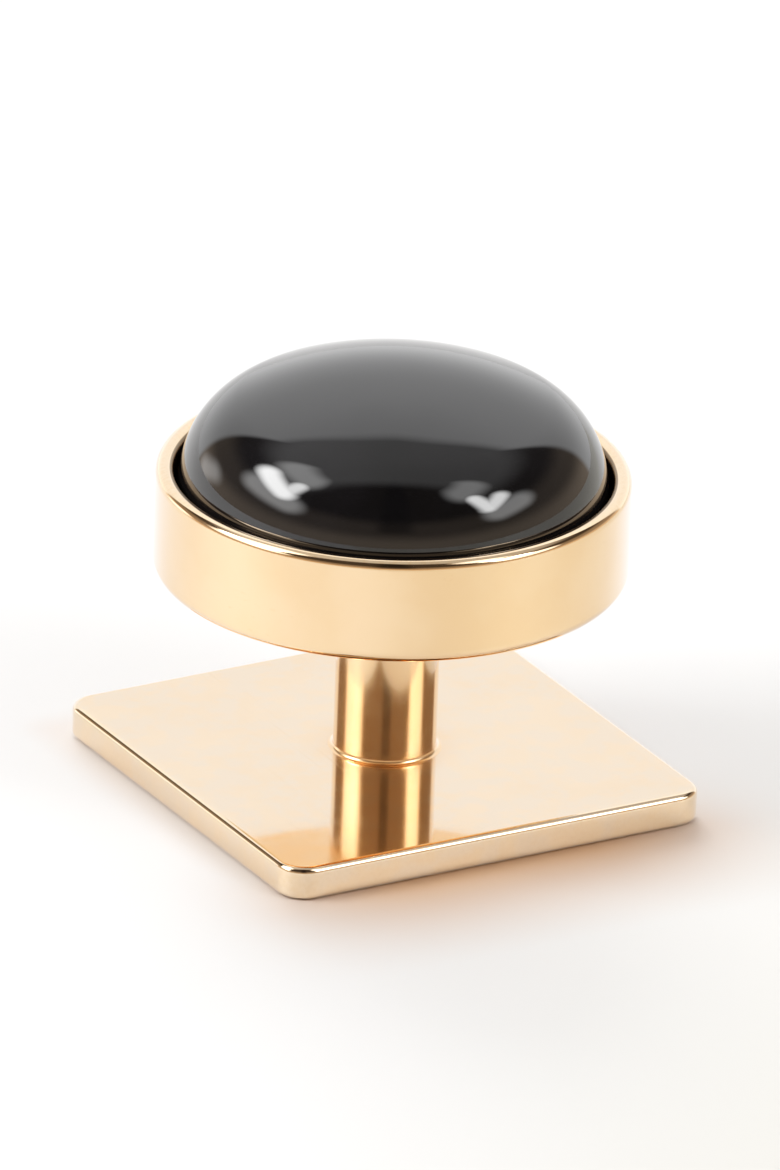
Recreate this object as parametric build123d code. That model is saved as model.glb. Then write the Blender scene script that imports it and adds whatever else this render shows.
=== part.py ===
from build123d import *
from math import atan2, degrees
import os

# Shirt stud: a domed black stone in a round metal cup, on a post with a square back plate.
# Millimetres. The stud stands on its plate: the origin is the middle of the plate's underside,
# +Z runs up the post to the stone, and the plate's sides run along X and Y.

# Back plate
PLATE_SIDE = 11.0
PLATE_THICKNESS = 0.8
PLATE_CORNER_RADIUS = 0.7
PLATE_EDGE_ROUND = 0.16

# Post, measured between the plate's upper face and the cup's underside
POST_DIAMETER = 2.4
POST_LENGTH = 4.4
SOLDER_BEAD = 0.12

# Bezel cup
CUP_DIAMETER = 11.0
CUP_HEIGHT = 2.55
CUP_WALL = 0.44
CUP_FLOOR = 0.5
CUP_BOTTOM_ROUND = 0.3

# Stone, with the clearance that lets it drop into the cup
STONE_SIDE_GAP = 0.1
STONE_SEAT_GAP = 0.05
STONE_BASE_BEVEL = 0.25
DOME_RISE_OVER_RIM = 2.5
DOME_FOOT_BELOW_RIM = 0.35
DOME_SHOULDER_RADIUS = 2.25

# Heights and radii that follow from the sizes above
PLATE_TOP = PLATE_THICKNESS
CUP_UNDERSIDE = PLATE_TOP + POST_LENGTH
CUP_RIM = CUP_UNDERSIDE + CUP_HEIGHT
CUP_FLOOR_TOP = CUP_UNDERSIDE + CUP_FLOOR
CUP_RADIUS = CUP_DIAMETER / 2
CUP_BORE_RADIUS = CUP_RADIUS - CUP_WALL
RIM_ROUND = CUP_WALL / 2
POST_RADIUS = POST_DIAMETER / 2
STONE_RADIUS = CUP_BORE_RADIUS - STONE_SIDE_GAP
STONE_BASE = CUP_FLOOR_TOP + STONE_SEAT_GAP
DOME_FOOT = CUP_RIM - DOME_FOOT_BELOW_RIM
DOME_TOP = CUP_RIM + DOME_RISE_OVER_RIM


def turned(outline):
    """Solid of revolution round Z from a closed outline whose x is radius and y is height."""
    return revolve(Plane.XZ * make_face(outline), Axis.Z)


def make_back_plate():
    """Flat square with rounded corners, its upper and lower outlines softened all round."""
    plate = extrude(RectangleRounded(PLATE_SIDE, PLATE_SIDE, PLATE_CORNER_RADIUS), PLATE_THICKNESS)
    faces = plate.faces().sort_by(Axis.Z)
    return fillet(faces[0].edges() + faces[-1].edges(), PLATE_EDGE_ROUND)


def make_cup():
    """Straight round wall and flat floor. The rim is a half round, the foot of the wall a quarter round."""
    foot_flat = CUP_RADIUS - CUP_BOTTOM_ROUND
    foot_top = CUP_UNDERSIDE + CUP_BOTTOM_ROUND
    rim_start = CUP_RIM - RIM_ROUND
    outline = Curve() + [
        Line((0, CUP_UNDERSIDE), (foot_flat, CUP_UNDERSIDE)),
        CenterArc((foot_flat, foot_top), CUP_BOTTOM_ROUND, 270, 90),
        Line((CUP_RADIUS, foot_top), (CUP_RADIUS, rim_start)),
        CenterArc((CUP_RADIUS - RIM_ROUND, rim_start), RIM_ROUND, 0, 180),
        Line((CUP_BORE_RADIUS, rim_start), (CUP_BORE_RADIUS, CUP_FLOOR_TOP)),
        Line((CUP_BORE_RADIUS, CUP_FLOOR_TOP), (0, CUP_FLOOR_TOP)),
        Line((0, CUP_FLOOR_TOP), (0, CUP_UNDERSIDE)),
    ]
    return turned(outline)


def make_post():
    """Plain round rod from the plate's upper face to the cup's underside."""
    base = Circle(POST_RADIUS)
    return Pos(0, 0, PLATE_TOP) * extrude(base, POST_LENGTH)


def make_setting():
    """Plate, post and cup soldered into one solid, with a fine bead round each end of the post."""
    metal = make_back_plate() + make_post() + make_cup()
    post_ends = [
        edge
        for edge in metal.edges().filter_by(GeomType.CIRCLE)
        if abs(edge.radius - POST_RADIUS) < 1e-6
    ]
    return fillet(post_ends, SOLDER_BEAD)


def make_cabochon():
    """Round stone: bevelled flat base, straight girdle in the cup, and a dome of two tangent arcs.

    The shoulder arc leaves the girdle upright. The flatter crown arc is centred on the stone's axis,
    and its radius is the one that meets the shoulder arc without a corner.
    """
    base_flat = STONE_RADIUS - STONE_BASE_BEVEL
    girdle_start = STONE_BASE + STONE_BASE_BEVEL
    dome_height = DOME_TOP - DOME_FOOT
    shoulder_x = STONE_RADIUS - DOME_SHOULDER_RADIUS
    crown_radius = (shoulder_x**2 + dome_height**2 - DOME_SHOULDER_RADIUS**2) / (
        2 * (dome_height - DOME_SHOULDER_RADIUS)
    )
    shoulder_angle = degrees(atan2(crown_radius - dome_height, shoulder_x))
    outline = Curve() + [
        Line((0, STONE_BASE), (base_flat, STONE_BASE)),
        Line((base_flat, STONE_BASE), (STONE_RADIUS, girdle_start)),
        Line((STONE_RADIUS, girdle_start), (STONE_RADIUS, DOME_FOOT)),
        CenterArc((shoulder_x, DOME_FOOT), DOME_SHOULDER_RADIUS, 0, shoulder_angle),
        CenterArc((0, DOME_TOP - crown_radius), crown_radius, shoulder_angle, 90 - shoulder_angle),
        Line((0, DOME_TOP), (0, STONE_BASE)),
    ]
    return turned(outline)


os.makedirs("parts", exist_ok=True)
export_step(make_setting(), "parts/setting.step")
export_step(make_cabochon(), "parts/cabochon.step")
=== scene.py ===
from collections import namedtuple
from math import pi, radians

import bpy
import numpy as np
from mathutils import Matrix, Vector


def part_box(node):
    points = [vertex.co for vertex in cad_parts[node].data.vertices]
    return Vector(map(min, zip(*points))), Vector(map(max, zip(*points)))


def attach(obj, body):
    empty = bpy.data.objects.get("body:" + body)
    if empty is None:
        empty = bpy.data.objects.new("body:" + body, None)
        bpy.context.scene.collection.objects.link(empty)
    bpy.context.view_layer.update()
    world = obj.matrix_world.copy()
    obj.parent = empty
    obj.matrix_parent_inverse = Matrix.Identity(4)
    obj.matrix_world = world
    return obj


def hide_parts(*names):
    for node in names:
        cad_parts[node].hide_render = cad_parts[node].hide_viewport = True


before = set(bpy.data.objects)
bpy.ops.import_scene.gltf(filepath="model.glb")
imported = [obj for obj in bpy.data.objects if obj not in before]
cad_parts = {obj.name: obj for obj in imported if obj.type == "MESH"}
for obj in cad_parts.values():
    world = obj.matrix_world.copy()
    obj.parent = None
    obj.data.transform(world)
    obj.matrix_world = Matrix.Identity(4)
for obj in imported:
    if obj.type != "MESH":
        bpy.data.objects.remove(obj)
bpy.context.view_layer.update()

# A shirt stud: a domed black stone in a gold cup, on a short post with a square back plate.
# Metres. The stud stands on its plate, with +Z up the post.
MM = 0.001

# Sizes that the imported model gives
setting_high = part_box("setting")[1]
stone_low, stone_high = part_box("cabochon")
PLATE_HALF = setting_high.x
CUP_RIM = setting_high.z
STONE_RADIUS = stone_high.x
STONE_BASE = stone_low.z
DOME_TOP = stone_high.z

# Back plate
PLATE_THICKNESS = 0.8 * MM
PLATE_CORNER = 0.7 * MM
PLATE_EDGE = 0.16 * MM

# Cup
CUP_RADIUS = 5.5 * MM
CUP_HEIGHT = 2.55 * MM
CUP_WALL = 0.44 * MM
CUP_FLOOR = 0.5 * MM
CUP_FOOT = 0.3 * MM
CUP_UNDERSIDE = CUP_RIM - CUP_HEIGHT

# Post, and the solder that joins it to the plate and the cup
POST_RADIUS = 1.2 * MM
POST_TENON = 0.1 * MM
POST_HEAT = 0.6
SOLDER_BEAD = 0.12 * MM
SOLDER_UNEVEN = 0.14

# Stone
STONE_BEVEL = 0.25 * MM
DOME_FOOT = CUP_RIM - 0.35 * MM
DOME_SHOULDER = 2.25 * MM

# How finely the surfaces are divided
TURNS = 288
PLATE_SIDE_STEPS = 56
PLATE_CORNER_STEPS = 16
UNDERSIDE_RINGS = 33
UPPER_FACE_RINGS = 59
EDGE_RINGS = 15
SIDE_RINGS = 4

# What hand polishing leaves: the height of the slow waves in a surface that looks flat
METAL_WAVE = 0.0016 * MM
STONE_WAVE = 0.0012 * MM

# How far the paler rubbed gold reaches from a rim, foot or edge
RIM_WEAR = 0.12 * MM
FOOT_WEAR = 0.16 * MM
EDGE_WEAR = 0.16 * MM

# How far the heat of soldering has stained the gold, across the cup, up the post and across the plate
CUP_STAIN = 0.6 * MM
POST_STAIN = 0.16 * MM
PLATE_STAIN = 0.5 * MM

# Colours, as red, green, blue and opacity
GOLD_DEEP = (0.89, 0.575, 0.295, 1)
GOLD_BRIGHT = (0.93, 0.625, 0.345, 1)
# Paler gold of the back plate
GOLD_PALE_PLATE = (0.80, 0.62, 0.44, 1)
GOLD_RUBBED = (0.96, 0.75, 0.52, 1)
GOLD_SCRATCHED = (0.72, 0.44, 0.20, 1)
SOLDER = (0.86, 0.48, 0.20, 1)
STONE_DARK = (0.0020, 0.0019, 0.0022, 1)
STONE_CLOUD = (0.0045, 0.0042, 0.0050, 1)
STONE_GROUND = (0.012, 0.010, 0.009, 1)
TABLE_LOW = (0.60, 0.60, 0.60, 1)
TABLE_HIGH = (0.64, 0.64, 0.64, 1)
# Painted shade on the floor
TABLE_SHADED = (0.53, 0.515, 0.465, 1)
# Painted warm shadow and glow of the gold on the floor
TABLE_PAINTED_GOLD_SHADOW = (0.48, 0.27, 0.14, 1)
WARM_ROOM = (1.0, 0.79, 0.60, 1)
WHITE = (1, 1, 1, 1)

# The camera looks at the stud from its front left corner, a little from above
CAMERA_AZIMUTH = -30
CAMERA_ELEVATION = 23.5
CAMERA_ROLL = 2.0
CAMERA_DISTANCE = 0.7
AIM_HEIGHT = DOME_TOP * 0.47
FRAME_HEIGHT = 27.0 * MM
SENSOR = 36.0

# The film's soft shoulder, and the light that it shows as white
FILM_SHOULDER = 0.766
FILM_RANGE = 0.5566
FILM_WHITE = 1.06
FILM_POINTS = 13

# Floor, just under the plate
FLOOR_DROP = 0.01 * MM
FLOOR_REACH = 3.0

# The floor is painted greyer, as shade, between two distances from the stud, towards a side that lies this
# many degrees to the right of the camera's side
SHADED_SIDE = 68
SHADE_START = 3 * MM
SHADE_FULL = 22 * MM

# Painted warm shadow and glow of the gold on the floor: how far it reaches in front of the plate, and the
# width and strength of the narrow band all round. The gold mirrors only a share of it.
GLOW_REACH = 4.5 * MM
GLOW_BAND = 1.2 * MM
GLOW_BAND_STRENGTH = 0.22
GLOW_MIRRORED = 0.3

# White sweep behind the stud, in degrees on the sky. The power makes its outline squarer than an ellipse.
SWEEP_HALF_WIDTH = 46.0
SWEEP_TOP = 63.0
SWEEP_POWER = 2.8

# Where the camera stands in the room, in degrees, and the share of the room's light that it takes away
LENS_AZIMUTH = 2.0
LENS_ELEVATION = 22
LENS_SHADE = 0.6

# Lamps are strips of light. Start and end are an azimuth from the camera's side and an elevation in
# degrees, half is the half width and fade the width of the soft rim.
Lamp = namedtuple("Lamp", "start end half fade radiance")
LAMPS = (
    Lamp(start=(-72.0, 35.0), end=(-95.0, 41.5), half=1.8, fade=8.0, radiance=18.0),
    Lamp(start=(-71.0, 35.0), end=(-70.5, 47.0), half=1.2, fade=6.0, radiance=13.0),
    Lamp(start=(-100.0, 57.0), end=(-72.0, 56.0), half=2.5, fade=11.0, radiance=2.9),
    Lamp(start=(-64.0, 27.0), end=(-90.0, 29.0), half=3.0, fade=9.0, radiance=2.8),
    Lamp(start=(60.5, 33.0), end=(58.5, 46.0), half=1.2, fade=5.5, radiance=12.5),
    Lamp(start=(60.5, 33.0), end=(74.0, 39.5), half=1.2, fade=6.0, radiance=11.5),
    Lamp(start=(55.0, 55.0), end=(73.0, 59.0), half=2.5, fade=11.0, radiance=2.2),
    Lamp(start=(64.0, 26.0), end=(80.0, 28.0), half=3.0, fade=8.0, radiance=2.4),
    Lamp(start=(-124.0, 3.0), end=(-117.0, 8.0), half=1.0, fade=8.0, radiance=1.6),
)

# What a degree of azimuth counts for beside a degree of elevation, because the sky narrows upwards
AZIMUTH_SHRINK = 0.75

# Soft lights for the floor alone, in degrees
FloorLight = namedtuple("FloorLight", "name azimuth elevation width strength")
FLOOR_LIGHTS = (
    FloorLight(name="top_light", azimuth=0.0, elevation=90.0, width=120.0, strength=0.9),
    FloorLight(name="back_light", azimuth=-165.0, elevation=26.0, width=34.0, strength=2.5),
)


# Directions and outlines

def on_sky(azimuth, elevation):
    """Unit vector towards a place on the sky, in degrees. The azimuth is 0 on the camera's side and
    grows to the camera's right."""
    turn, rise = radians(CAMERA_AZIMUTH + azimuth), radians(elevation)
    return Vector((np.sin(turn) * np.cos(rise), -np.cos(turn) * np.cos(rise), np.sin(rise)))


def arc(centre, radius, start, end, steps):
    """Points of an arc: the centre plus radius times (cos, sin) of angles spaced evenly, in degrees."""
    angle = np.radians(np.linspace(start, end, steps + 1))
    return np.stack([centre[0] + radius * np.cos(angle), centre[1] + radius * np.sin(angle)], axis=1)


def line(start, end, steps):
    """Points of a straight line that lie closer together towards its ends, by half a cosine wave."""
    share = (1 - np.cos(np.linspace(0, pi, steps + 1)))[:, None] / 2
    return np.array(start) * (1 - share) + np.array(end) * share


def joined(*stretches):
    """One outline from stretches that meet end to end, each meeting point kept once."""
    return np.concatenate([stretches[0]] + [stretch[1:] for stretch in stretches[1:]])


# Surfaces

def turned(outline):
    """Grid of points round Z. Row i has the radius and height of point i of the outline, and column j
    is turned by j steps of a full circle: x = radius cos(turn), y = radius sin(turn), z = height."""
    turn = np.arange(TURNS) * 2 * pi / TURNS
    radius, height = outline[:, :1], outline[:, 1:]
    return np.stack([radius * np.cos(turn), radius * np.sin(turn), height + 0 * turn], axis=2)


def slow_waves(points, height, length, seed):
    """Smooth random heights: twice the mean of twelve sine waves in random directions, of about the
    given length, each with its own phase."""
    chance = np.random.default_rng(seed)
    direction = chance.normal(size=(12, 3))
    direction /= np.linalg.norm(direction, axis=1, keepdims=True)
    stretch = chance.uniform(0.7, 1.6, 12)
    phase = chance.uniform(0, 2 * pi, 12)
    waves = np.sin(points @ direction.T * (2 * pi / length) * stretch + phase)
    return height * waves.mean(axis=-1) * 2


def outward(grid):
    """Unit normals of a grid that closes round its columns: the cross product of the step to the next
    column and the step to the next row."""
    across = np.roll(grid, -1, axis=1) - np.roll(grid, 1, axis=1)
    along = np.gradient(grid, axis=0)
    normal = np.cross(across, along)
    size = np.linalg.norm(normal, axis=2, keepdims=True)
    return normal / np.maximum(size, 1e-15)


def hand_polished(grid, height, length, seed):
    """The grid moved along its normals by slow waves, as polishing on a wheel leaves it."""
    return grid + outward(grid) * slow_waves(grid, height, length, seed)[:, :, None]


def closed_piece(name, grid, marks):
    """Mesh of a grid whose columns close into rings and whose first and last rows are single points.

    Quads join each row to the next and triangles close the two ends, all facing outwards. marks holds
    values from 0 to 1 for the points of the grid, kept as attributes for the materials."""
    rows, columns = grid.shape[:2]
    rings = grid[1:-1].reshape(-1, 3)
    points = np.concatenate([grid[:1, 0], rings, grid[-1:, 0]])
    first = 1 + np.arange(columns)
    last = first + (rows - 3) * columns
    here = first + np.arange(rows - 3)[:, None] * columns
    after = np.roll(here, -1, axis=1)
    quads = np.stack([here, after, after + columns, here + columns], axis=2).reshape(-1, 4)
    start_fan = np.stack([np.zeros(columns, int), np.roll(first, -1), first], axis=1)
    end_fan = np.stack([last, np.roll(last, -1), np.full(columns, len(points) - 1)], axis=1)
    mesh = bpy.data.meshes.new(name)
    mesh.from_pydata(points.tolist(), [], quads.tolist() + start_fan.tolist() + end_fan.tolist())
    mesh.shade_smooth()
    for label, value in marks.items():
        value = np.broadcast_to(value, (rows, columns))
        kept = np.concatenate([value[:1, 0], value[1:-1].ravel(), value[-1:, 0]])
        mesh.attributes.new(label, "FLOAT", "POINT").data.foreach_set("value", kept.astype(np.float32))
    piece = bpy.data.objects.new(name, mesh)
    bpy.context.scene.collection.objects.link(piece)
    return piece


def near(value, place, reach):
    """1 at place, falling on both sides along a smooth bell to about a third at a reach away."""
    return np.exp(-((value - place) / reach) ** 2)


# Pieces

def make_cabochon():
    """Round stone. The outline runs from the middle of the base over a bevel, up the girdle, round a
    shoulder arc and over a flatter crown arc, which is centred on the axis and tangent to the first."""
    rise = DOME_TOP - DOME_FOOT
    shoulder = (STONE_RADIUS - DOME_SHOULDER, DOME_FOOT)
    crown_radius = (shoulder[0] ** 2 + rise**2 - DOME_SHOULDER**2) / (2 * (rise - DOME_SHOULDER))
    meeting = np.degrees(np.arctan2(crown_radius - rise, shoulder[0]))
    base_edge = (STONE_RADIUS - STONE_BEVEL, STONE_BASE)
    girdle_start = (STONE_RADIUS, STONE_BASE + STONE_BEVEL)
    outline = joined(
        line((0, STONE_BASE), base_edge, steps=10),
        line(base_edge, girdle_start, steps=4),
        line(girdle_start, (STONE_RADIUS, DOME_FOOT), steps=16),
        arc(shoulder, DOME_SHOULDER, 0, meeting, steps=44),
        arc((0, DOME_TOP - crown_radius), crown_radius, meeting, 90, steps=72),
    )
    outline[-1, 0] = 0
    grid = hand_polished(turned(outline), STONE_WAVE, length=4 * MM, seed=11)
    height = grid[:, :, 2]
    girdle = np.clip((DOME_FOOT + 0.3 * MM - height) / (0.4 * MM), 0, 1)
    return closed_piece("black_cabochon", grid, {"girdle": girdle})


def make_cup():
    """Bezel cup. The outline runs along the underside, round the foot, up the wall, over the half-round
    rim, down the bore and back along the cup's floor."""
    bore = CUP_RADIUS - CUP_WALL
    lip = CUP_WALL / 2
    rim_start = CUP_RIM - lip
    foot_flat = CUP_RADIUS - CUP_FOOT
    foot_top = CUP_UNDERSIDE + CUP_FOOT
    floor_top = CUP_UNDERSIDE + CUP_FLOOR
    outline = joined(
        line((0, CUP_UNDERSIDE), (foot_flat, CUP_UNDERSIDE), steps=30),
        arc((foot_flat, foot_top), CUP_FOOT, 270, 360, steps=14),
        line((CUP_RADIUS, foot_top), (CUP_RADIUS, rim_start), steps=26),
        arc((CUP_RADIUS - lip, rim_start), lip, 0, 180, steps=22),
        line((bore, rim_start), (bore, floor_top), steps=16),
        line((bore, floor_top), (0, floor_top), steps=10),
    )
    grid = hand_polished(turned(outline), METAL_WAVE, length=3.4 * MM, seed=5)
    radius = np.hypot(grid[:, :, 0], grid[:, :, 1])
    height = grid[:, :, 2]
    rim = near(height, CUP_RIM, RIM_WEAR)
    foot = near(height, CUP_UNDERSIDE, FOOT_WEAR) * near(radius, CUP_RADIUS, 0.2 * MM)
    seam = near(height, CUP_UNDERSIDE, 0.2 * MM) * near(radius, POST_RADIUS, CUP_STAIN)
    inside = (radius < bore + 0.02 * MM) * (height < rim_start) * (height > floor_top - 0.1 * MM)
    marks = {"rubbed": np.clip(rim + 0.7 * foot, 0, 1), "seam": np.clip(seam + inside, 0, 1), "thin": 0.0}
    return closed_piece("bezel_cup", grid, marks)


def make_post():
    """Round post with a concave bead of solder at each end. The bead's reach varies round the post by a
    few slow waves, because solder never flows evenly."""
    plate_top = PLATE_THICKNESS
    reach = POST_RADIUS + SOLDER_BEAD
    foot, foot_end = plate_top + SOLDER_BEAD, plate_top - POST_TENON
    head, head_end = CUP_UNDERSIDE - SOLDER_BEAD, CUP_UNDERSIDE + POST_TENON
    outline = joined(
        line((0, foot_end), (reach, foot_end), steps=6),
        line((reach, foot_end), (reach, plate_top), steps=2),
        arc((reach, foot), SOLDER_BEAD, 270, 180, steps=16),
        line((POST_RADIUS, foot), (POST_RADIUS, head), steps=40),
        arc((reach, head), SOLDER_BEAD, 180, 90, steps=16),
        line((reach, CUP_UNDERSIDE), (reach, head_end), steps=2),
        line((reach, head_end), (0, head_end), steps=6),
    )
    radius = outline[:, :1]
    proud = np.clip(radius - POST_RADIUS, 0, None)
    turn = np.arange(TURNS) * 2 * pi / TURNS
    waves = np.sin(2 * turn + 0.6) + 0.7 * np.sin(3 * turn + 2.1) + 0.5 * np.sin(7 * turn + 4.0)
    upper = outline[:, 1:] > (plate_top + CUP_UNDERSIDE) / 2
    flow = np.where(upper, waves, np.roll(waves, TURNS // 3)) * SOLDER_UNEVEN / 2
    wider = (radius + proud * flow) / np.maximum(radius, 1e-9)
    grid = turned(outline) * np.stack([wider, wider, np.ones_like(wider)], axis=2)
    grid = hand_polished(grid, METAL_WAVE, length=2.2 * MM, seed=8)
    height = grid[:, :, 2]
    seam = POST_HEAT + near(height, plate_top, POST_STAIN) + near(height, CUP_UNDERSIDE, POST_STAIN)
    return closed_piece("post", grid, {"rubbed": 0.0, "seam": np.clip(seam, 0, 1), "thin": 0.0})


def square_outline():
    """Inner points and outward directions round a square whose half side is 1, as two arrays.

    Each side is a straight run of points that all face one way. Each corner is one point, repeated
    while the direction turns through a quarter circle."""
    quarter = np.arange(4)[:, None] * pi / 2
    across, up = np.cos(quarter), np.sin(quarter)
    run = np.linspace(-1, 1, PLATE_SIDE_STEPS + 1)[None, :-1] + 0 * quarter
    bend = np.linspace(0, pi / 2, PLATE_CORNER_STEPS + 1)[None, :-1]
    side = np.stack([across - run * up, up + run * across], axis=2)
    corner = np.stack([across - up + 0 * bend, up + across + 0 * bend], axis=2)
    inner = np.concatenate([side, corner], axis=1).reshape(-1, 2)
    facing = np.concatenate([quarter + 0 * run, quarter + bend], axis=1).reshape(-1)
    return inner, np.stack([np.cos(facing), np.sin(facing)], axis=1)


def make_back_plate():
    """Square plate with rounded corners and softened edges.

    A column is a place on the square's outline: a point of the inner square whose corners are the
    corners' centres, plus the outward direction there times the corner radius. A row is a ring: the
    rings grow from the middle of the underside, turn round the lower edge, climb the side, turn round
    the upper edge and shrink to the middle of the upper face."""
    inner, direction = square_outline()
    edge = PLATE_EDGE
    upper_edge = PLATE_THICKNESS - edge
    lower_turn = np.radians(np.linspace(-90, 0, EDGE_RINGS))
    upper_turn = np.radians(np.linspace(0, 90, EDGE_RINGS))
    side_rise = np.linspace(edge, upper_edge, SIDE_RINGS + 2)[1:-1]
    inset = np.concatenate([
        np.full(UNDERSIDE_RINGS, edge), edge - edge * np.cos(lower_turn), np.zeros(SIDE_RINGS),
        edge - edge * np.cos(upper_turn), np.full(UPPER_FACE_RINGS, edge),
    ])
    height = np.concatenate([
        np.zeros(UNDERSIDE_RINGS), edge + edge * np.sin(lower_turn), side_rise,
        upper_edge + edge * np.sin(upper_turn), np.full(UPPER_FACE_RINGS, PLATE_THICKNESS),
    ])
    underside = np.sin(np.linspace(0, pi / 2, UNDERSIDE_RINGS + 1))[:-1]
    upper_face = np.sin(np.linspace(0, pi / 2, UPPER_FACE_RINGS + 1))[:-1]
    size = np.concatenate([underside, np.ones(2 * EDGE_RINGS + SIDE_RINGS), upper_face[::-1]])
    reach = (PLATE_CORNER - inset)[:, None, None]
    flat = (inner * (PLATE_HALF - PLATE_CORNER) + direction * reach) * size[:, None, None]
    grid = np.concatenate([flat, height[:, None, None] + 0 * flat[:, :, :1]], axis=2)
    grid = hand_polished(grid, METAL_WAVE, length=5 * MM, seed=3)
    grid[:, :, 2] = np.maximum(grid[:, :, 2], 0)
    across = np.abs(grid[:, :, :2]).max(axis=2)
    from_middle = np.hypot(grid[:, :, 0], grid[:, :, 1])
    corner_near = np.clip(from_middle / PLATE_HALF - 1.2, 0, 1) * 2
    rubbed = near(across, PLATE_HALF - 0.1 * MM, EDGE_WEAR) * (0.6 + corner_near)
    seam = near(from_middle, POST_RADIUS, PLATE_STAIN)
    # The "thin" mark is 1 on the back plate alone, where the gold is paler
    marks = {"rubbed": np.clip(rubbed, 0, 1), "seam": np.clip(seam, 0, 1), "thin": 1.0}
    return closed_piece("back_plate", grid, marks)


# Shader building

def fit(tree, kind, inputs=None, **settings):
    """Adds a node. inputs gives each input socket a fixed value or the output that feeds it."""
    made = tree.nodes.new(kind)
    for label, value in settings.items():
        setattr(made, label, value)
    for label, value in (inputs or {}).items():
        feed(tree, made.inputs[label], value)
    return made


def feed(tree, socket, value):
    """Links an output to the socket, or sets the socket to a fixed value."""
    if isinstance(value, bpy.types.NodeSocket):
        tree.links.new(value, socket)
    else:
        socket.default_value = value


def maths(tree, operation, first, second=0.0, third=0.0):
    """Output of one Math node."""
    return fit(tree, "ShaderNodeMath", {0: first, 1: second, 2: third}, operation=operation).outputs[0]


def times(tree, *values):
    """Product of two or more values."""
    product = values[0]
    for value in values[1:]:
        product = maths(tree, "MULTIPLY", product, value)
    return product


def vector_maths(tree, operation, first, second, output="Vector"):
    """Output of one Vector Math node."""
    return fit(tree, "ShaderNodeVectorMath", {0: first, 1: second}, operation=operation).outputs[output]


def ramped(tree, value, low, high, out_low=0.0, out_high=1.0, kind="SMOOTHSTEP"):
    """Value carried from out_low to out_high as it goes from low to high, and held beyond them."""
    made = fit(tree, "ShaderNodeMapRange", {
        "Value": value, "From Min": low, "From Max": high, "To Min": out_low, "To Max": out_high,
    }, interpolation_type=kind)
    return made.outputs["Result"]


def mixed(tree, share, first, second):
    """Colour mixed from first to second by share."""
    made = fit(tree, "ShaderNodeMix", {"Factor": share}, data_type="RGBA")
    first_colour, second_colour = [socket for socket in made.inputs if socket.type == "RGBA"]
    feed(tree, first_colour, first)
    feed(tree, second_colour, second)
    return [socket for socket in made.outputs if socket.type == "RGBA"][0]


def marked(tree, name):
    """Value that a piece's mesh carries under the name, from 0 to 1."""
    return fit(tree, "ShaderNodeAttribute", attribute_name=name).outputs["Fac"]


# Node groups

def new_group(name, inputs, outputs):
    """Empty node group. inputs holds rows of name, kind and value, outputs rows of name and kind."""
    tree = bpy.data.node_groups.new(name, "ShaderNodeTree")
    for label, kind, value in inputs:
        socket = tree.interface.new_socket(label, in_out="INPUT", socket_type=kind)
        if kind == "NodeSocketFloat":
            socket.default_value = value
    for label, kind in outputs:
        tree.interface.new_socket(label, in_out="OUTPUT", socket_type=kind)
    return tree, tree.nodes.new("NodeGroupInput").outputs, tree.nodes.new("NodeGroupOutput").inputs


def make_hairlines():
    """Hairline scratches: three layers of noise drawn out long in three directions, cut to thin lines,
    and kept only in patches."""
    tree, given, result = new_group(
        "hairlines",
        [("Vector", "NodeSocketVector", None), ("Fineness", "NodeSocketFloat", 9000.0),
         ("Cover", "NodeSocketFloat", 0.5)],
        [("Lines", "NodeSocketFloat"), ("Height", "NodeSocketFloat")],
    )
    total = 0.0
    for turn in ((0.3, 0.2, 0.5), (1.2, 0.7, 2.1), (0.1, 2.2, 1.3)):
        drawn = fit(tree, "ShaderNodeMapping", {
            "Vector": given["Vector"], "Rotation": turn, "Scale": (1.0, 0.03, 1.0)}).outputs[0]
        noise = fit(tree, "ShaderNodeTexNoise", {
            "Vector": drawn, "Scale": given["Fineness"], "Detail": 1.0})
        patch = fit(tree, "ShaderNodeTexNoise", {
            "Vector": drawn, "Scale": times(tree, given["Fineness"], 0.05)})
        thin = ramped(tree, noise.outputs["Fac"], 0.66, 0.74)
        low = maths(tree, "SUBTRACT", 0.72, times(tree, given["Cover"], 0.3))
        kept = ramped(tree, patch.outputs["Fac"], low, maths(tree, "ADD", low, 0.12))
        total = maths(tree, "MAXIMUM", total, times(tree, thin, kept))
    tree.links.new(total, result["Lines"])
    tree.links.new(times(tree, total, -1.0), result["Height"])
    return tree


def make_polish_cloud():
    """Cloudy change of polish from place to place: a broad noise, and a much finer one as its grain."""
    tree, given, result = new_group(
        "polish_cloud",
        [("Vector", "NodeSocketVector", None), ("Size", "NodeSocketFloat", 600.0)],
        [("Cloud", "NodeSocketFloat"), ("Grain", "NodeSocketFloat")],
    )
    broad = fit(tree, "ShaderNodeTexNoise", {
        "Vector": given["Vector"], "Scale": given["Size"], "Detail": 3.0, "Roughness": 0.55})
    fine = fit(tree, "ShaderNodeTexNoise", {
        "Vector": given["Vector"], "Scale": times(tree, given["Size"], 22.0), "Detail": 2.0})
    tree.links.new(ramped(tree, broad.outputs["Fac"], 0.32, 0.68), result["Cloud"])
    tree.links.new(fine.outputs["Fac"], result["Grain"])
    return tree


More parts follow.
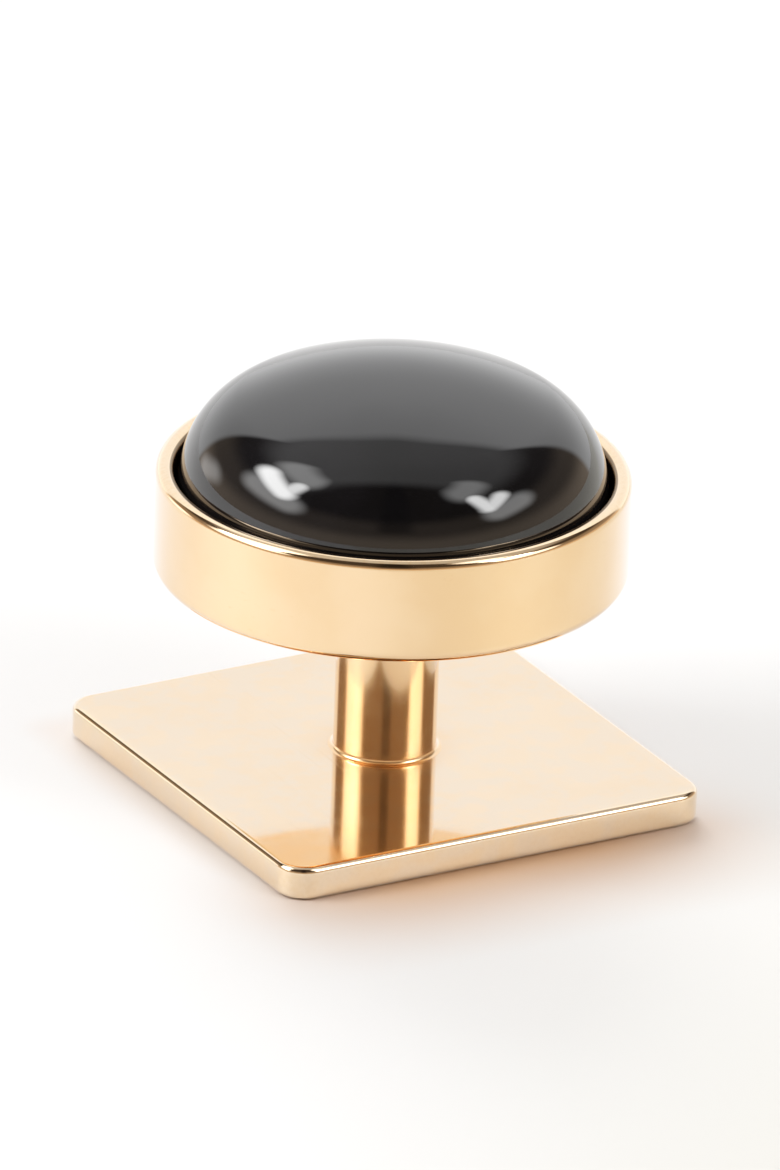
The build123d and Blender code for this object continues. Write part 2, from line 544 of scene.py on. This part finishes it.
def make_strip_group():
    """Strip of light on the sky: 1 on the line from one place to another, falling to 0 round it.

    Places are measured as x and y in degrees. The nearest point of the line is its start plus the
    clamped share of its length, and the light falls smoothly from Half to Half plus Fade away from it."""
    tree, given, result = new_group(
        "light_strip",
        [("Place", "NodeSocketVector", None), ("Start", "NodeSocketVector", None),
         ("End", "NodeSocketVector", None), ("Half", "NodeSocketFloat", 3.0),
         ("Fade", "NodeSocketFloat", 3.0)],
        [("Light", "NodeSocketFloat")],
    )
    length = vector_maths(tree, "SUBTRACT", given["End"], given["Start"])
    offset = vector_maths(tree, "SUBTRACT", given["Place"], given["Start"])
    share = maths(tree, "DIVIDE", vector_maths(tree, "DOT_PRODUCT", offset, length, "Value"),
                  vector_maths(tree, "DOT_PRODUCT", length, length, "Value"))
    share = ramped(tree, share, 0.0, 1.0, kind="LINEAR")
    along = fit(tree, "ShaderNodeVectorMath", {0: length, "Scale": share}, operation="SCALE").outputs[0]
    away = vector_maths(tree, "DISTANCE", offset, along, "Value")
    past = maths(tree, "DIVIDE", maths(tree, "SUBTRACT", away, given["Half"]), given["Fade"])
    tree.links.new(ramped(tree, past, 0.0, 1.0, 1.0, 0.0), result["Light"])
    return tree


# Materials

def new_material(name):
    """Material with an empty Principled BSDF, and the object's own coordinates."""
    made = bpy.data.materials.new(name)
    made.use_nodes = True
    tree = made.node_tree
    shader = tree.nodes["Principled BSDF"]
    place = fit(tree, "ShaderNodeTexCoord").outputs["Object"]
    return made, tree, shader, place


def scratched(tree, hairlines, place, fineness, cover):
    """Outputs of the hairline group, set for one material."""
    return fit(tree, "ShaderNodeGroup", {
        "Vector": place, "Fineness": fineness, "Cover": cover}, node_tree=hairlines).outputs


def clouded(tree, cloud, place, size):
    """Outputs of the polish group. A larger size value gives smaller clouds."""
    return fit(tree, "ShaderNodeGroup", {"Vector": place, "Size": size}, node_tree=cloud).outputs


def polished_gold(hairlines, cloud):
    """High-polish gold plating under a clear lacquer. The gold is paler on the back plate, rubbed paler
    still on rims and corners, darker and duller round the solder, and carries hairlines and a slight
    cloudiness."""
    made, tree, shader, place = new_material("polished_gold")
    rubbed, seam, thin = marked(tree, "rubbed"), marked(tree, "seam"), marked(tree, "thin")
    lines = scratched(tree, hairlines, place, fineness=9000.0, cover=0.45)
    polish = clouded(tree, cloud, place, size=420.0)
    smudged = clouded(tree, cloud, place, size=1300.0)["Cloud"]
    worn = times(tree, rubbed, ramped(tree, polish["Grain"], 0.35, 0.6, 0.4, 1.0))
    # The "thin" mark is 1 on the back plate alone, where the gold is paler
    paler_plate = times(tree, thin, ramped(tree, smudged, 0.0, 1.0, 0.4, 0.8))

    tone = mixed(tree, polish["Cloud"], GOLD_DEEP, GOLD_BRIGHT)
    tone = mixed(tree, paler_plate, tone, GOLD_PALE_PLATE)
    tone = mixed(tree, times(tree, worn, 0.5), tone, GOLD_RUBBED)
    tone = mixed(tree, times(tree, lines["Lines"], 0.22), tone, GOLD_SCRATCHED)
    tone = mixed(tree, times(tree, seam, 0.4), tone, SOLDER)
    tree.links.new(tone, shader.inputs["Base Color"])

    rough = ramped(tree, polish["Cloud"], 0.0, 1.0, 0.055, 0.085)
    rough = maths(tree, "MULTIPLY_ADD", smudged, 0.03, rough)
    rough = maths(tree, "MULTIPLY_ADD", lines["Lines"], 0.14, rough)
    rough = maths(tree, "MULTIPLY_ADD", seam, 0.15, rough)
    tree.links.new(rough, shader.inputs["Roughness"])

    scored = fit(tree, "ShaderNodeBump", {"Height": lines["Height"], "Distance": 0.6e-6, "Strength": 0.5})
    tree.links.new(scored.outputs[0], shader.inputs["Normal"])
    tree.links.new(maths(tree, "MULTIPLY_ADD", worn, -0.5, 1.0), shader.inputs["Coat Weight"])
    shader.inputs["Metallic"].default_value = 1.0
    shader.inputs["Coat Roughness"].default_value = 0.03
    shader.inputs["Coat IOR"].default_value = 1.5
    return made


def black_stone(hairlines, cloud):
    """Glassy black stone: almost black with a faint grey cloud in it, a mirror polish with a few
    hairlines, and a matt ground girdle below the rim."""
    made, tree, shader, place = new_material("black_stone")
    girdle = marked(tree, "girdle")
    lines = scratched(tree, hairlines, place, fineness=8000.0, cover=0.25)
    cloudy = clouded(tree, cloud, place, size=330.0)["Cloud"]

    tone = mixed(tree, cloudy, STONE_DARK, STONE_CLOUD)
    tree.links.new(mixed(tree, girdle, tone, STONE_GROUND), shader.inputs["Base Color"])

    rough = ramped(tree, cloudy, 0.0, 1.0, 0.030, 0.045)
    rough = maths(tree, "MULTIPLY_ADD", lines["Lines"], 0.08, rough)
    rough = maths(tree, "MULTIPLY_ADD", girdle, 0.25, rough)
    tree.links.new(rough, shader.inputs["Roughness"])

    scored = fit(tree, "ShaderNodeBump", {"Height": lines["Height"], "Distance": 0.4e-6, "Strength": 0.4})
    tree.links.new(scored.outputs[0], shader.inputs["Normal"])
    shader.inputs["IOR"].default_value = 1.54
    return made


def painted_gold_shadow(tree, place):
    """Share of the painted warm shadow and glow of the gold on the floor: most in front of the middle of
    the plate, with a weak narrow band all round. Polished surfaces show it only faintly, so that the
    plate's sides stay pale."""
    origin = (0, 0, 0)
    corner_side = vector_maths(tree, "ABSOLUTE", place, origin)
    beyond = vector_maths(tree, "SUBTRACT", corner_side, (PLATE_HALF, PLATE_HALF, 0))
    away = vector_maths(tree, "LENGTH", vector_maths(tree, "MAXIMUM", beyond, origin), origin, "Value")
    x, y = fit(tree, "ShaderNodeSeparateXYZ", {"Vector": place}).outputs[:2]
    along_front = ramped(tree, maths(tree, "ABSOLUTE", x), 2 * MM, 9 * MM, 1.0, 0.0)
    in_front = ramped(tree, y, -6 * MM, -2 * MM, 1.0, 0.0)
    fading = maths(tree, "POWER", ramped(tree, away, 0.0, GLOW_REACH, 1.0, 0.0, kind="LINEAR"), 1.3)
    front = times(tree, fading, along_front, in_front)
    band = ramped(tree, away, 0.0, GLOW_BAND, GLOW_BAND_STRENGTH, 0.0)
    mirrored = fit(tree, "ShaderNodeLightPath").outputs["Is Glossy Ray"]
    shown = ramped(tree, mirrored, 0.0, 1.0, 1.0, GLOW_MIRRORED)
    return times(tree, maths(tree, "MAXIMUM", front, band), shown)


def white_floor():
    """Smooth white table top with a faint sheen and a very slight unevenness of tone. Its colour holds
    painted shade, greyer towards the right, away from the back light, and a painted warm shadow and glow
    where the gold shines on it."""
    made, tree, shader, place = new_material("white_floor")
    noise = fit(tree, "ShaderNodeTexNoise", {"Vector": place, "Scale": 12.0, "Detail": 4.0})
    tone = mixed(tree, noise.outputs["Fac"], TABLE_LOW, TABLE_HIGH)
    aside = vector_maths(tree, "DOT_PRODUCT", place, on_sky(SHADED_SIDE, 0), "Value")
    # Painted shade: the floor's colour turns greyer towards the side away from the back light
    tone = mixed(tree, ramped(tree, aside, SHADE_START, SHADE_FULL), tone, TABLE_SHADED)
    # Painted warm shadow and glow of the gold on the floor, darker and warmer than the table
    tone = mixed(tree, painted_gold_shadow(tree, place), tone, TABLE_PAINTED_GOLD_SHADOW)
    tree.links.new(tone, shader.inputs["Base Color"])
    shader.inputs["Roughness"].default_value = 0.55
    shader.inputs["IOR"].default_value = 1.45
    return made


# Studio

def make_floor():
    """Flat square floor just under the plate."""
    reach, low = FLOOR_REACH, -FLOOR_DROP
    mesh = bpy.data.meshes.new("floor")
    corners = [(-reach, -reach, low), (reach, -reach, low), (reach, reach, low), (-reach, reach, low)]
    mesh.from_pydata(corners, [], [(0, 1, 2, 3)])
    floor = bpy.data.objects.new("floor", mesh)
    bpy.context.scene.collection.objects.link(floor)
    mesh.materials.append(white_floor())


def sweep_share(tree, azimuth, elevation):
    """1 on the white sweep behind the stud and 0 off it, with a soft edge. Its outline is the curve
    where (angle from straight behind / half width) and (elevation / top), each to a power, add up to 1."""
    behind = maths(tree, "SUBTRACT", 180.0, maths(tree, "ABSOLUTE", azimuth))
    above = maths(tree, "MAXIMUM", elevation, 0.0)
    wide = maths(tree, "POWER", maths(tree, "DIVIDE", behind, SWEEP_HALF_WIDTH), SWEEP_POWER)
    tall = maths(tree, "POWER", maths(tree, "DIVIDE", above, SWEEP_TOP), SWEEP_POWER)
    return ramped(tree, maths(tree, "ADD", wide, tall), 0.84, 1.16, 1.0, 0.0)


def sweep_brightness(tree, elevation):
    """Radiance of the sweep, least in its middle: higher towards its foot and towards its top."""
    upper = ramped(tree, elevation, 24.0, 48.0, 1.11, 1.38)
    foot = ramped(tree, elevation, 2.0, 20.0, 0.24, 0.0)
    return maths(tree, "ADD", upper, foot)


def room_light(tree, azimuth, elevation):
    """Warm light of the room: a bright foot near the table that fades by 18 degrees up, walls that grow
    darker from 23 to 36 degrees, and a dimmer place where the camera stands."""
    low_walls = ramped(tree, elevation, 4.0, 18.0, 0.46, 0.0)
    high_walls = ramped(tree, elevation, 23.0, 36.0, 0.25, 0.045)
    lens_side = maths(tree, "ABSOLUTE", maths(tree, "SUBTRACT", azimuth, LENS_AZIMUTH))
    beside_lens = ramped(tree, lens_side, 5.0, 14.0, 1.0, 0.0)
    above_lens = ramped(tree, elevation, 14.0, 22.0)
    shade = maths(tree, "SUBTRACT", 1.0, times(tree, beside_lens, above_lens, LENS_SHADE))
    return times(tree, maths(tree, "ADD", low_walls, high_walls), shade)


def overhead_light(tree, to_lens, aside, elevation):
    """Dim grey light from above, stronger on the left, and left out in a wide round about the camera."""
    from_lens = maths(tree, "DEGREES", maths(tree, "ARCCOSINE", to_lens))
    opening = ramped(tree, from_lens, 49.0, 62.0)
    strength = ramped(tree, aside, -0.6, 0.6, 0.56, 0.38)
    return times(tree, ramped(tree, elevation, 40.0, 56.0), opening, strength)


def lamp_strips(tree, azimuth, elevation, light):
    """The given light, or the light of a lamp wherever that is brighter."""
    place = fit(tree, "ShaderNodeCombineXYZ", {
        "X": times(tree, azimuth, AZIMUTH_SHRINK), "Y": elevation}).outputs[0]
    strip = make_strip_group()
    for lamp in LAMPS:
        glow = fit(tree, "ShaderNodeGroup", {
            "Place": place, "Half": lamp.half, "Fade": lamp.fade,
            "Start": (lamp.start[0] * AZIMUTH_SHRINK, lamp.start[1], 0),
            "End": (lamp.end[0] * AZIMUTH_SHRINK, lamp.end[1], 0),
        }, node_tree=strip)
        light = maths(tree, "MAXIMUM", light, times(tree, glow.outputs["Light"], lamp.radiance))
    return light


def make_studio():
    """Soft studio round the stud, as directions on the sky.

    A white sweep behind that is brightest at its foot and its top, a dim grey overhead, the strips of
    the lamps, and a dark warm room all round. The camera itself sees a plain white ground."""
    world = bpy.data.worlds.new("studio")
    bpy.context.scene.world = world
    world.use_nodes = True
    tree = world.node_tree
    tree.nodes.clear()
    sky = fit(tree, "ShaderNodeTexCoord").outputs["Generated"]
    ahead, aside, up, to_lens = [
        vector_maths(tree, "DOT_PRODUCT", sky, direction, "Value")
        for direction in (on_sky(0, 0), on_sky(90, 0), on_sky(0, 90), on_sky(0, LENS_ELEVATION))
    ]
    azimuth = maths(tree, "DEGREES", maths(tree, "ARCTAN2", aside, ahead))
    elevation = maths(tree, "DEGREES", maths(tree, "ARCSINE", up))

    on_sweep = sweep_share(tree, azimuth, elevation)
    sweep = times(tree, on_sweep, sweep_brightness(tree, elevation))
    light = maths(tree, "MAXIMUM", overhead_light(tree, to_lens, aside, elevation), sweep)
    light = lamp_strips(tree, azimuth, elevation, light)
    room = times(tree, room_light(tree, azimuth, elevation), maths(tree, "SUBTRACT", 1.0, on_sweep))

    warm = fit(tree, "ShaderNodeBackground", {"Color": WARM_ROOM, "Strength": room})
    white = fit(tree, "ShaderNodeBackground", {"Color": WHITE, "Strength": light})
    lit = fit(tree, "ShaderNodeAddShader", {0: warm.outputs[0], 1: white.outputs[0]})
    ground = fit(tree, "ShaderNodeBackground", {"Color": WHITE, "Strength": 1.0})
    seen = fit(tree, "ShaderNodeLightPath").outputs["Is Camera Ray"]
    both = fit(tree, "ShaderNodeMixShader", {0: seen, 1: lit.outputs[0], 2: ground.outputs[0]})
    fit(tree, "ShaderNodeOutputWorld", {"Surface": both.outputs[0]})


def make_floor_lights():
    """Broad distant lights that shade the floor and stay out of the polished surfaces."""
    for light in FLOOR_LIGHTS:
        data = bpy.data.lights.new(light.name, "SUN")
        data.angle = radians(light.width)
        data.energy = light.strength
        lamp = bpy.data.objects.new(light.name, data)
        lamp.rotation_euler = on_sky(light.azimuth, light.elevation).to_track_quat("Z", "Y").to_euler()
        lamp.visible_glossy = False
        bpy.context.scene.collection.objects.link(lamp)


def make_camera():
    """Long lens on the middle of the stud, from the front left and above, rolled a little."""
    data = bpy.data.cameras.new("camera")
    data.sensor_width = SENSOR
    data.lens = SENSOR * CAMERA_DISTANCE / FRAME_HEIGHT
    camera = bpy.data.objects.new("camera", data)
    bpy.context.scene.collection.objects.link(camera)
    bpy.context.scene.camera = camera
    back = on_sky(0, CAMERA_ELEVATION)
    place = Matrix.Translation(Vector((0, 0, AIM_HEIGHT)) + back * CAMERA_DISTANCE)
    look = (-back).to_track_quat("-Z", "Y").to_matrix().to_4x4()
    camera.matrix_world = place @ look @ Matrix.Rotation(radians(CAMERA_ROLL), 4, "Z")


def set_film_response():
    """Soft shoulder of a bright product photograph: shown = (1 - exp(-shoulder x light)) / range, where
    light runs from 0 to the white level."""
    view = bpy.context.scene.view_settings
    view.view_transform = "Standard"
    view.use_curve_mapping = True
    curve = view.curve_mapping
    curve.white_level = (FILM_WHITE, FILM_WHITE, FILM_WHITE)
    response = curve.curves[3]
    for share in np.linspace(0, 1, FILM_POINTS)[1:-1]:
        response.points.new(share, (1 - np.exp(-FILM_SHOULDER * share * FILM_WHITE)) / FILM_RANGE)
    curve.update()


# Assembly

hairlines = make_hairlines()
cloud = make_polish_cloud()
gold = polished_gold(hairlines, cloud)
stone = black_stone(hairlines, cloud)

for piece, material, slot, node in (
    (make_cabochon(), stone, "black_stone", "cabochon"),
    (make_cup(), gold, "polished_gold", "setting"),
    (make_post(), gold, "polished_gold", "setting"),
    (make_back_plate(), gold, "polished_gold", "setting"),
):
    piece.data.materials.append(material)
    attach(piece, "root")
    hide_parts(node)

make_floor()
make_studio()
make_floor_lights()
make_camera()
set_film_response()
